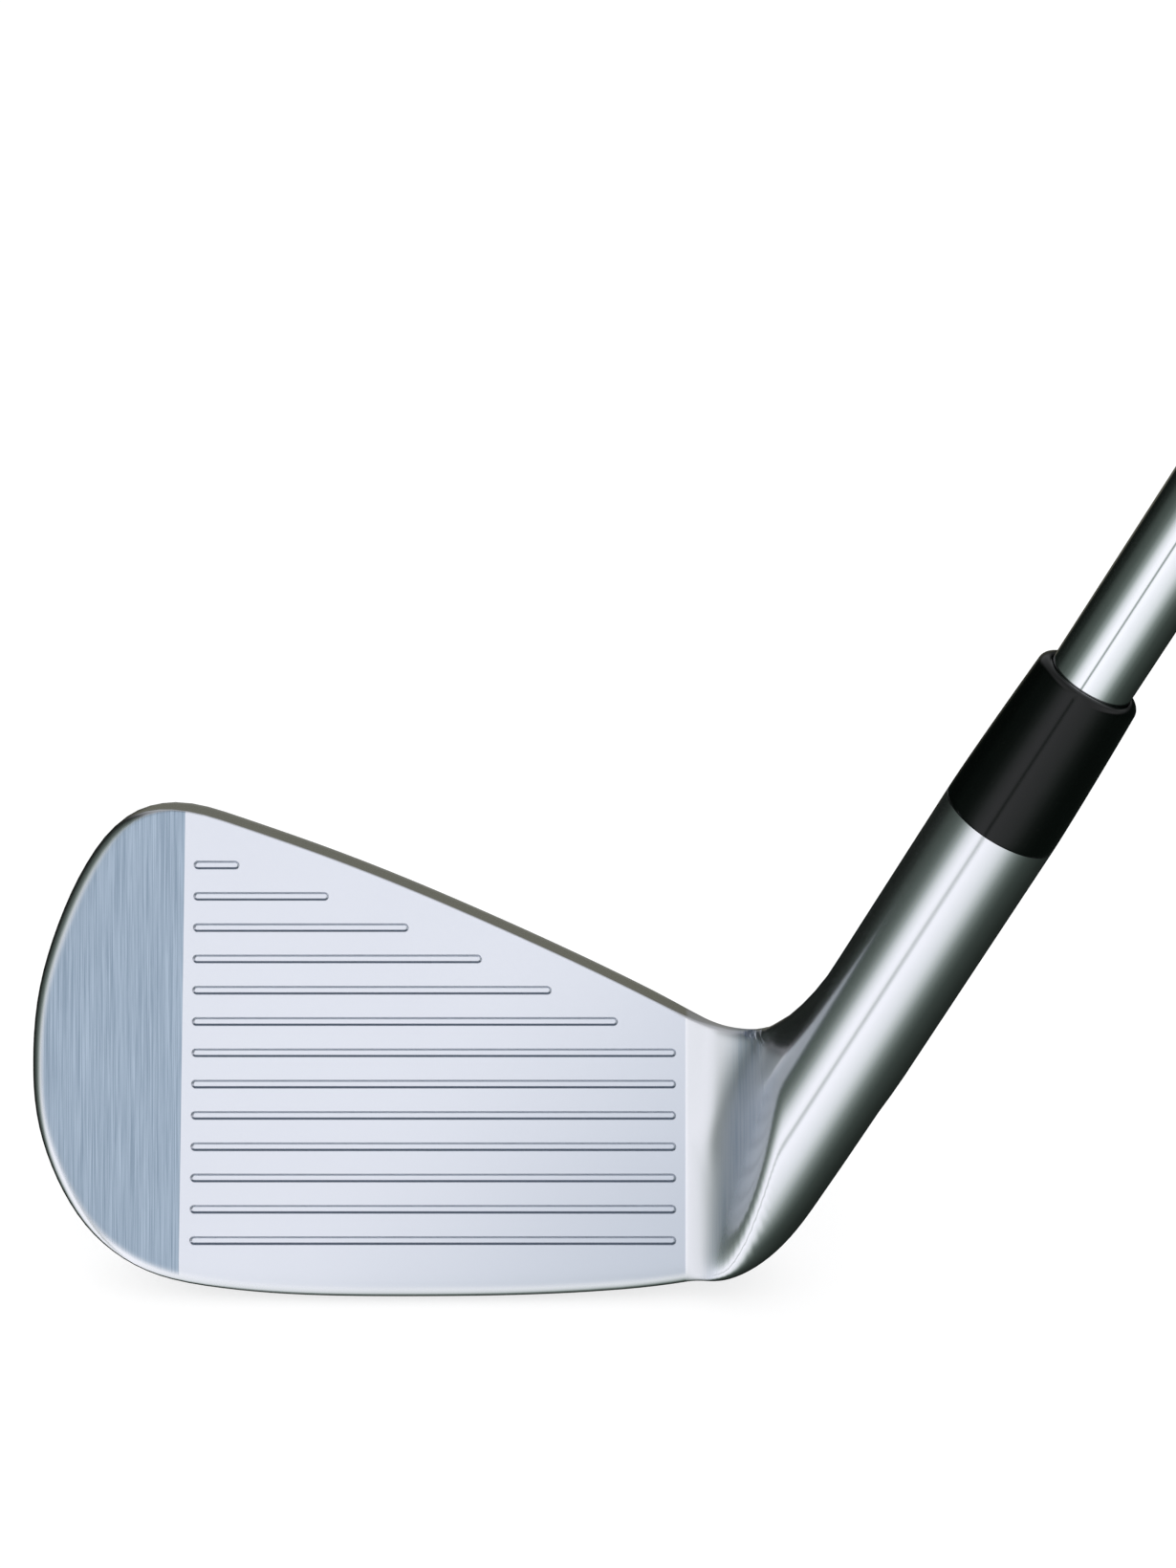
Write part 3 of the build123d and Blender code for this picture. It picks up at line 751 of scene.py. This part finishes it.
# -------- node graphs
class Graph:
    """Short names for the shader nodes used below. Any input may be a socket or a value."""

    def __init__(self, tree):
        self.tree = tree

    def link(self, value, socket):
        """Feeds a socket from another socket, or sets it to a number or a colour."""
        if isinstance(value, bpy.types.NodeSocket):
            self.tree.links.new(value, socket)
        elif isinstance(value, (tuple, list)) and len(value) == 3 and socket.type == "RGBA":
            socket.default_value = (*value, 1)
        else:
            socket.default_value = value

    def math(self, operation, a, b=0.0):
        node = self.tree.nodes.new("ShaderNodeMath")
        node.operation = operation
        self.link(a, node.inputs[0])
        self.link(b, node.inputs[1])
        return node.outputs[0]

    def plus(self, a, b):
        return self.math("ADD", a, b)

    def minus(self, a, b):
        return self.math("SUBTRACT", a, b)

    def times(self, first, *others):
        for other in others:
            first = self.math("MULTIPLY", first, other)
        return first

    def without(self, share):
        """What a share leaves of 1."""
        return self.minus(1.0, share)

    def along(self, vector, direction):
        """Dot product with a fixed direction."""
        node = self.tree.nodes.new("ShaderNodeVectorMath")
        node.operation = "DOT_PRODUCT"
        self.link(vector, node.inputs[0])
        node.inputs[1].default_value = tuple(float(c) for c in direction)
        return node.outputs["Value"]

    def step(self, value, low, high):
        """0 below low and 1 above high, with a smooth change between."""
        node = self.tree.nodes.new("ShaderNodeMapRange")
        node.interpolation_type = "SMOOTHSTEP"
        self.link(value, node.inputs["Value"])
        node.inputs["From Min"].default_value = low
        node.inputs["From Max"].default_value = high
        return node.outputs["Result"]

    def remap(self, value, low, high):
        """A 0 to 1 value as low to high."""
        node = self.tree.nodes.new("ShaderNodeMapRange")
        self.link(value, node.inputs["Value"])
        self.link(low, node.inputs["To Min"])
        self.link(high, node.inputs["To Max"])
        return node.outputs["Result"]

    def combine(self, x, y, z):
        node = self.tree.nodes.new("ShaderNodeCombineXYZ")
        for value, socket in zip((x, y, z), node.inputs):
            self.link(value, socket)
        return node.outputs[0]

    def mix(self, share, a, b, blend="MIX"):
        """Colour a where share is 0 and b where it is 1."""
        node = self.tree.nodes.new("ShaderNodeMix")
        node.data_type, node.blend_type = "RGBA", blend
        self.link(share, node.inputs[0])
        self.link(a, node.inputs[6])
        self.link(b, node.inputs[7])
        return node.outputs[2]

    def noise(self, place, scale=1.0, detail=3.0, roughness=0.55):
        node = self.tree.nodes.new("ShaderNodeTexNoise")
        self.link(place, node.inputs["Vector"])
        node.inputs["Scale"].default_value = scale
        node.inputs["Detail"].default_value = detail
        node.inputs["Roughness"].default_value = roughness
        return node.outputs["Fac"]


class Finish(Graph):
    """A new material's graph. Places on the piece are in millimetres."""

    def __init__(self, name):
        self.material = bpy.data.materials.new(name)
        self.material.use_nodes = True
        super().__init__(self.material.node_tree)
        self.shader = self.tree.nodes["Principled BSDF"]
        self.object_place = self.tree.nodes.new("ShaderNodeTexCoord").outputs["Object"]

    def place(self, direction):
        """Distance along a direction."""
        return self.along(self.object_place, np.asarray(direction) / MM)

    def facing(self, direction):
        """How far the surface faces a direction, from -1 to 1."""
        normal = self.tree.nodes.new("ShaderNodeNewGeometry").outputs["Normal"]
        return self.along(normal, direction)

    def spot(self):
        """Place in the part's own x, y and z."""
        return self.combine(self.place((1, 0, 0)), self.place((0, 1, 0)), self.place((0, 0, 1)))

    def axis_noise(self, round_scale, long_scale, detail=3.0):
        """Noise with its own scales across and along the shaft axis."""
        across = self.times(self.place(ACROSS_AXIS), round_scale)
        forward = self.times(self.place((0, 1, 0)), round_scale)
        upward = self.times(self.place(AXIS), long_scale)
        return self.noise(self.combine(across, forward, upward), 1.0, detail)

    def bump(self, height, distance, strength=1.0, below=None):
        """Bump whose height of 1 stands `distance` millimetres proud, laid over another."""
        node = self.tree.nodes.new("ShaderNodeBump")
        if below:
            self.tree.links.new(below, node.inputs["Normal"])
        node.inputs["Distance"].default_value = distance * MM
        self.link(strength, node.inputs["Strength"])
        self.link(height, node.inputs["Height"])
        return node.outputs[0]

    def done(self, **values):
        """Sets the shader's inputs and returns the material."""
        for name, value in values.items():
            self.link(value, self.shader.inputs[name.replace("_", " ")])
        return self.material


# -------- materials
# Blasted face colour, and a painted-shade copy of it used low at the heel
BLASTED_HIGH, BLASTED_SHADED = (0.81, 0.825, 0.885), (0.60, 0.64, 0.71)
BLASTED_CLOUD = (0.84, 0.855, 0.91)
SATIN, SATIN_CLOUD = (0.80, 0.81, 0.84), (0.86, 0.86, 0.89)
TOE_DARK, TOE_PALE = (0.24, 0.31, 0.39), (0.47, 0.56, 0.66)
HEEL_BRUSHED = (0.38, 0.46, 0.57)
# Painted shade for the two walls of a score line: dark on the lower wall, lighter on the upper
LOWER_WALL_SHADE, UPPER_WALL_SHADE = (0.15, 0.18, 0.22), (0.76, 0.79, 0.86)


def below_topline(n, u, v):
    """Rough distance below the straight part of the topline."""
    (u_low, v_high), (u_high, v_low) = UPPER_EDGE_POINTS[5], UPPER_EDGE_POINTS[8]
    fall = (v_low - v_high) / (u_high - u_low)
    return n.minus(n.plus(n.times(u, fall), v_high - fall * u_low), v)


def head_zones(n, u, v, w):
    """Shares of the head's finishes: blasted face, score lines, brushed toe, brushed heel, rough
    heel and satin back."""
    slant = (TOE_LINE_TOP - TOE_LINE_BOTTOM) / 55
    toe_line = (TOE_LINE_TOP + TOE_LINE_BOTTOM) / 2 - 0.1
    past_toe = n.step(n.minus(u, n.times(v, slant)), toe_line - 0.06, toe_line + 0.06)
    past_heel = n.step(u, HEEL_LINE - 0.1, HEEL_LINE + 0.1)
    between = n.times(past_toe, n.without(past_heel))
    # The rows of score lines, and not the rounded edges that lie as deep
    above_lowest = n.step(v, LOWEST_GROOVE - 0.8, LOWEST_GROOVE - 0.7)
    clearance = n.step(below_topline(n, u, v), GROOVE_CLEARANCE - 2.5, GROOVE_CLEARANCE - 2.3)
    rows = n.times(above_lowest, clearance)
    blasted = n.times(between, n.math("MAXIMUM", n.step(w, -0.22, -0.06), rows))
    depth = n.times(w, -1.0)
    in_groove = n.times(between, rows, n.step(depth, 0.03, 0.08), n.step(w, -0.60, -0.50))
    toe_face = n.times(n.without(past_toe), n.step(w, -0.28, -0.06))
    # Brushing covers the blade's side of the hosel and fades out up the face
    crest = float(AXIS_GROUND @ ACROSS_AXIS)
    flank = n.step(n.minus(n.place(ACROSS_AXIS), n.times(v, 0.25)), crest + 5.0, crest + 6.6)
    beside_hosel = n.times(flank, n.without(n.step(v, 6.0, 26.0)))
    brush_start = n.minus(u, n.times(v, 0.11))
    heel_face = n.times(n.step(brush_start, HEEL_LINE + 3.4, HEEL_LINE + 6.4), beside_hosel)
    heel_rough = n.times(n.step(u, HEEL_LINE - 0.5, HEEL_LINE + 0.5), beside_hosel)
    return blasted, in_groove, toe_face, heel_face, heel_rough, n.step(depth, 3.0, 5.0)


def head_steel():
    """Blasted hitting area, vertically brushed toe and heel, satin polished hosel and edges."""
    n = Finish("head_steel")
    u, v, w = n.place((1, 0, 0)), n.place(FACE_UP), n.place(FACE_NORMAL)
    blasted, in_groove, toe_face, heel_face, heel_rough, back = head_zones(n, u, v, w)
    # Brushing runs up the face: fine across it, long along it. Polishing runs along the hosel
    brush = n.noise(n.combine(n.times(u, 14.0), n.times(v, 0.10), 0.0), 1.0, 3.0, 0.6)
    coarse = n.noise(n.combine(n.times(u, 5.0), n.times(v, 0.05), 0.0), 1.0, 2.0, 0.5)
    streak = n.step(n.plus(n.times(brush, 0.6), n.times(coarse, 0.4)), 0.32, 0.68)
    grain = n.noise(n.combine(u, v, w), 9.0, 2.0, 0.6)
    cloud = n.noise(n.combine(u, v, w), 0.05, 3.0, 0.5)
    across, forward = n.times(n.place(ACROSS_AXIS), 6.0), n.times(n.place((0, 1, 0)), 6.0)
    polishing = n.noise(n.combine(across, n.times(n.place(AXIS), 0.12), forward), 1.0, 3.0, 0.6)
    brushed = n.math("MAXIMUM", toe_face, n.times(heel_face, 0.8))
    heel_share = n.times(heel_face, n.remap(streak, 0.35, 0.85))
    colour = n.mix(heel_share, n.mix(cloud, SATIN, SATIN_CLOUD), HEEL_BRUSHED)
    colour = n.mix(toe_face, colour, n.mix(streak, TOE_DARK, TOE_PALE))
    # Painted shade: the blasted face turns darker towards the low heel
    low_heel_shade = n.step(n.minus(u, v), -10.0, 60.0)
    face_colour = n.mix(low_heel_shade, n.mix(cloud, BLASTED_HIGH, BLASTED_CLOUD), BLASTED_SHADED)
    colour = n.mix(blasted, colour, face_colour)
    # Painted shade darkens the walls of the score lines, most of all the wall that faces up; the wall
    # that faces down gets a lighter painted shade
    faces_up = n.facing(FACE_UP)
    lower_wall_shade = n.times(in_groove, n.step(faces_up, 0.30, 0.60))
    upper_wall_shade = n.times(in_groove, n.step(n.times(faces_up, -1.0), 0.30, 0.60))
    colour = n.mix(upper_wall_shade, n.mix(lower_wall_shade, colour, LOWER_WALL_SHADE), UPPER_WALL_SHADE)
    rough = n.remap(brushed, n.remap(polishing, 0.15, 0.20), n.remap(brush, 0.26, 0.42))
    rough = n.math("MAXIMUM", rough, n.times(heel_rough, 0.42))
    rough = n.math("MAXIMUM", rough, n.times(back, 0.30))
    rough = n.remap(blasted, rough, n.remap(grain, 0.40, 0.48))
    grained = n.bump(grain, 0.010, n.times(blasted, 0.30))
    lined = n.bump(brush, 0.015, n.times(brushed, 0.45), grained)
    normal = n.bump(polishing, 0.003, 0.30, lined)
    metallic = n.remap(back, 1.0, 0.72)
    return n.done(Base_Color=colour, Metallic=metallic, Roughness=rough, Normal=normal)


def shaft_chrome():
    """Bright chrome with faint drawing lines and a few dull handling patches."""
    n = Finish("shaft_chrome")
    lines = n.axis_noise(8.0, 0.03)
    place = n.combine(n.place(AXIS), n.place((0, 1, 0)), n.place(ACROSS_AXIS))
    dull = n.step(n.noise(place, 0.035, 4.0), 0.5, 0.75)
    return n.done(
        Base_Color=n.mix(dull, (0.86, 0.87, 0.89), (0.78, 0.80, 0.83)),
        Metallic=1.0,
        Roughness=n.plus(n.remap(lines, 0.05, 0.11), n.times(dull, 0.05)),
        Normal=n.bump(lines, 0.002, 0.4),
    )


def ferrule_plastic():
    """Polished black plastic with turning marks round it and hairline scuffs."""
    n = Finish("ferrule_plastic")
    turning = n.axis_noise(0.2, 14.0)
    scuffs = n.step(n.axis_noise(5.0, 1.2, 5.0), 0.62, 0.72)
    return n.done(
        Base_Color=n.mix(scuffs, (0.0006, 0.0012, 0.0009), (0.002, 0.003, 0.0025)),
        Roughness=n.plus(n.remap(turning, 0.10, 0.16), n.times(scuffs, 0.12)),
        Normal=n.bump(turning, 0.004, 0.3),
        IOR=1.38,
    )


def grip_rubber(name, shade):
    """Matt rubber with a pebbled skin and paler dusty patches."""
    n = Finish(name)
    pebble = n.noise(n.spot(), 3.2, 4.0, 0.6)
    dust = n.step(n.noise(n.spot(), 0.09, 5.0, 0.6), 0.42, 0.72)
    dusty = (shade * 2.1, shade * 2.1, shade * 2.2)
    return n.done(
        Base_Color=n.mix(dust, (shade, shade, shade * 1.06), dusty),
        Roughness=n.plus(n.remap(pebble, 0.52, 0.70), n.times(dust, 0.10)),
        Normal=n.bump(pebble, 0.06, 0.7),
    )


def band_film():
    """Brushed silver film under a clear coat, with a plain dark ring near each end."""
    n = Finish("band_film")
    ring_inner, ring_outer, edge = 15.0, 16.6, 0.1
    height = n.minus(n.place(AXIS), float(AXIS_GROUND @ AXIS))
    from_middle = n.math("ABSOLUTE", n.minus(height, float(BAND_BOTTOM + BAND_TOP) / 2))
    past_inner = n.step(from_middle, ring_inner, ring_inner + edge)
    ring = n.times(past_inner, n.without(n.step(from_middle, ring_outer, ring_outer + edge)))
    lines = n.axis_noise(9.0, 0.05)
    silver = n.mix(lines, (0.62, 0.64, 0.68), (0.74, 0.76, 0.80))
    return n.done(
        Base_Color=n.mix(ring, silver, (0.03, 0.035, 0.04)),
        Metallic=n.minus(0.85, n.times(ring, 0.7)),
        Roughness=n.remap(lines, 0.24, 0.36),
        Normal=n.bump(lines, 0.003, 0.3),
        Coat_Weight=0.5,
    )


def inner_material(name, dark, light, metallic, rough):
    """Finish of a piece that is hidden inside the club: mottled, with a fine grain."""
    n = Finish(name)
    mottle, grain = n.noise(n.spot(), 0.6, 4.0), n.noise(n.spot(), 6.0, 3.0)
    return n.done(
        Base_Color=n.mix(mottle, dark, light),
        Metallic=metallic,
        Roughness=n.remap(grain, rough - 0.08, rough + 0.08),
        Normal=n.bump(grain, 0.02, 0.5),
    )


# -------- studio
FLOOR_GLOW = 0.68
FLOOR_REACH = 9000.0
FLOOR_GAP = 0.4
CAMERA_AIM = np.array([17.7, 0, 0]) + 35.9 * FACE_UP
CAMERA_DISTANCE = 430.0
FRAME_HEIGHT = 178.5
# Brightness mirrored in the metal against the angle round the shaft axis, 0 facing the camera.
# The narrow dip beside 0 is the gap between the two panels.
MIRRORED = [
    (-180, 0.010), (-128, 0.007), (-106, 0.016), (-89, 0.048), (-74, 0.07), (-60, 0.12), (-47, 0.30),
    (-35, 0.66), (-23, 0.88), (-12, 0.93), (-10, 0.30), (-7, 0.30), (-5, 0.90), (0, 0.93), (12, 0.84),
    (23, 0.77), (35, 0.65), (47, 0.42), (60, 0.19), (74, 0.088), (89, 0.046), (106, 0.032), (128, 0.020),
    (180, 0.010),
]
MIRROR_STRENGTH = 1.25
DARK_TINT, BRIGHT_TINT, FULL_LEVEL, TINT_POWER = (0.78, 1.12, 0.90), (0.965, 0.975, 1.02), 0.9, 0.4
CEILING_FRONT, CEILING_REAR = (0.90, 0.91, 0.94), (0.42, 0.43, 0.44)
BEHIND = (0.15, 0.15, 0.12)
FILL_STRENGTH = 0.85


def floor_material():
    """Matt white studio floor, partly self-lit so that shadows stay faint."""
    n = Finish("studio_floor")
    cloud = n.noise(n.object_place, 1.5, 3.0)
    return n.done(
        Base_Color=n.mix(cloud, (0.38, 0.38, 0.382), (0.42, 0.42, 0.422)),
        Roughness=0.9,
        Specular_IOR_Level=0.0,
        Emission_Color=(1.0, 1.0, 1.0),
        Emission_Strength=FLOOR_GLOW,
    )


def build_floor():
    """Large plane just below the sole. The bright floor isn't mirrored in the metal."""
    level = cad_low.z / MM - FLOOR_GAP
    square = [(-1, -1), (1, -1), (1, 1), (-1, 1)]
    corners = [(x * FLOOR_REACH, y * FLOOR_REACH, level) for x, y in square]
    floor = mesh_object("studio_floor", corners, [(0, 1, 2, 3)])
    floor.data.materials.append(floor_material())
    floor.visible_glossy = False


def camera_place():
    """The camera stands square in front of the face."""
    return CAMERA_AIM + FACE_NORMAL * CAMERA_DISTANCE


def panel_colours(g, angle):
    """The two panels as a colour ramp over the angle round the shaft axis."""
    share = g.tree.nodes.new("ShaderNodeMapRange")
    g.link(angle, share.inputs["Value"])
    share.inputs["From Min"].default_value = -math.pi
    share.inputs["From Max"].default_value = math.pi
    panels = g.tree.nodes.new("ShaderNodeValToRGB")
    g.link(share.outputs["Result"], panels.inputs["Fac"])
    stops = panels.color_ramp.elements
    while len(stops) < len(MIRRORED):
        stops.new(0.5)
    for stop, (degrees, level) in zip(stops, MIRRORED):
        brightness = min(1.0, level / FULL_LEVEL) ** TINT_POWER
        tint = [dark + (bright - dark) * brightness for dark, bright in zip(DARK_TINT, BRIGHT_TINT)]
        stop.position = (degrees + 180) / 360
        stop.color = (*(level * MIRROR_STRENGTH * t for t in tint), 1)
    return panels.outputs["Color"]


def mirrored_colour(g):
    """Colour the metal sees: the panels, a soft ceiling, and dim surroundings."""
    to_camera = camera_place() - (AXIS_GROUND + AXIS * HOSEL_TOP)
    ahead = to_camera - (to_camera @ AXIS) * AXIS
    ahead /= np.linalg.norm(ahead)
    aside = np.cross(AXIS, ahead)
    direction = g.tree.nodes.new("ShaderNodeTexCoord").outputs["Generated"]
    angle = g.math("ARCTAN2", g.along(direction, aside), g.along(direction, ahead))
    heelward, rearward, upward = (g.along(direction, way) for way in np.eye(3))
    dark = (0.0, 0.0, 0.0)
    ceiling = g.mix(g.step(rearward, -0.2, 0.5), CEILING_FRONT, CEILING_REAR)
    ceiling = g.mix(g.step(heelward, -0.60, -0.20), dark, ceiling)
    above = g.mix(g.step(upward, 0.08, 0.30), dark, ceiling)
    behind = g.mix(g.step(rearward, 0.91, 0.97), dark, BEHIND)
    return g.mix(1.0, g.mix(1.0, panel_colours(g, angle), above, "LIGHTEN"), behind, "LIGHTEN")


def build_world():
    """Pale backdrop for the eye, soft fill for matt surfaces, studio panels in the metal."""
    world = bpy.data.worlds.new("studio")
    bpy.context.scene.world = world
    world.use_nodes = True
    tree = world.node_tree
    tree.nodes.clear()
    g = Graph(tree)

    def background(colour, strength):
        node = tree.nodes.new("ShaderNodeBackground")
        g.link(colour, node.inputs["Color"])
        node.inputs["Strength"].default_value = strength
        return node.outputs[0]

    def choose(ray, otherwise, chosen):
        node = tree.nodes.new("ShaderNodeMixShader")
        for value, socket in zip((path.outputs[ray], otherwise, chosen), node.inputs):
            tree.links.new(value, socket)
        return node.outputs[0]

    white = (1.0, 1.0, 1.0)
    path = tree.nodes.new("ShaderNodeLightPath")
    fill, mirrored = background(white, FILL_STRENGTH), background(mirrored_colour(g), 1.0)
    lit = choose("Is Glossy Ray", fill, mirrored)
    output = tree.nodes.new("ShaderNodeOutputWorld")
    tree.links.new(choose("Is Camera Ray", lit, background(white, 1.0)), output.inputs[0])


def softbox(name, azimuth, elevation, width, height, brightness, distance=2.4):
    """Soft panel aimed at the head, in metres. Azimuth 0 is the target side, 90 the heel side."""
    a, e = math.radians(azimuth), math.radians(elevation)
    way = Vector((math.sin(a) * math.cos(e), -math.cos(a) * math.cos(e), math.sin(e)))
    light = bpy.data.lights.new(name, "AREA")
    light.shape, light.size, light.size_y = "RECTANGLE", width, height
    light.energy = brightness * math.pi * width * height
    lamp = bpy.data.objects.new(name, light)
    lamp.location = way * distance
    lamp.rotation_euler = way.to_track_quat("Z", "Y").to_euler()
    lamp.visible_camera = False
    lamp.visible_glossy = False
    bpy.context.scene.collection.objects.link(lamp)


def build_lights():
    """Soft light from both sides of the camera and a weaker one behind. The metal mirrors the
    world's panels instead, so these are left out of its reflections."""
    softbox("left_panel", -33, 38, 2.2, 2.2, 0.50)
    softbox("right_panel", 33, 38, 2.2, 2.2, 0.45)
    softbox("rear_panel", 190, 48, 1.8, 1.4, 0.40)


def build_camera():
    """Looks square at the face from the target side, the way the club is usually shown."""
    data = bpy.data.cameras.new("camera")
    data.sensor_width = 36.0
    data.lens = data.sensor_width * CAMERA_DISTANCE / FRAME_HEIGHT
    data.clip_start, data.clip_end = 0.01, 30.0
    camera = bpy.data.objects.new("camera", data)
    camera.location = camera_place() * MM
    camera.rotation_euler = Vector(FACE_NORMAL).to_track_quat("Z", "Y").to_euler()
    bpy.context.scene.collection.objects.link(camera)
    bpy.context.scene.camera = camera
    bpy.context.scene.view_settings.view_transform = "Standard"


# -------- assembly
def show(piece, node, material):
    """Puts a piece on the club in place of a CAD node."""
    piece.data.materials.clear()
    piece.data.materials.append(material)
    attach(piece, "root")
    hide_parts(node)


def repaint(node, material):
    """Gives a CAD node a finish."""
    for slot in frame["nodes"][node].material_slots:
        slot.material = material


show(build_head(), "iron_head", head_steel())
show(build_ferrule(), "ferrule", ferrule_plastic())
show(build_shaft(), "shaft", shaft_chrome())
show(build_grip(), "grip", grip_rubber("grip_rubber", 0.020))
show(build_cap(), "grip_cap", grip_rubber("cap_rubber", 0.027))
show(build_band(), "shaft_band", band_film())
repaint("hosel_epoxy", inner_material("epoxy", (0.66, 0.58, 0.38), (0.80, 0.72, 0.52), 0.0, 0.45))
repaint("tip_weight", inner_material("plug_brass", (0.66, 0.48, 0.20), (0.82, 0.64, 0.33), 1.0, 0.32))
repaint("grip_tape", inner_material("tape", (0.76, 0.73, 0.65), (0.86, 0.84, 0.78), 0.0, 0.85))

build_floor()
build_world()
build_lights()
build_camera()
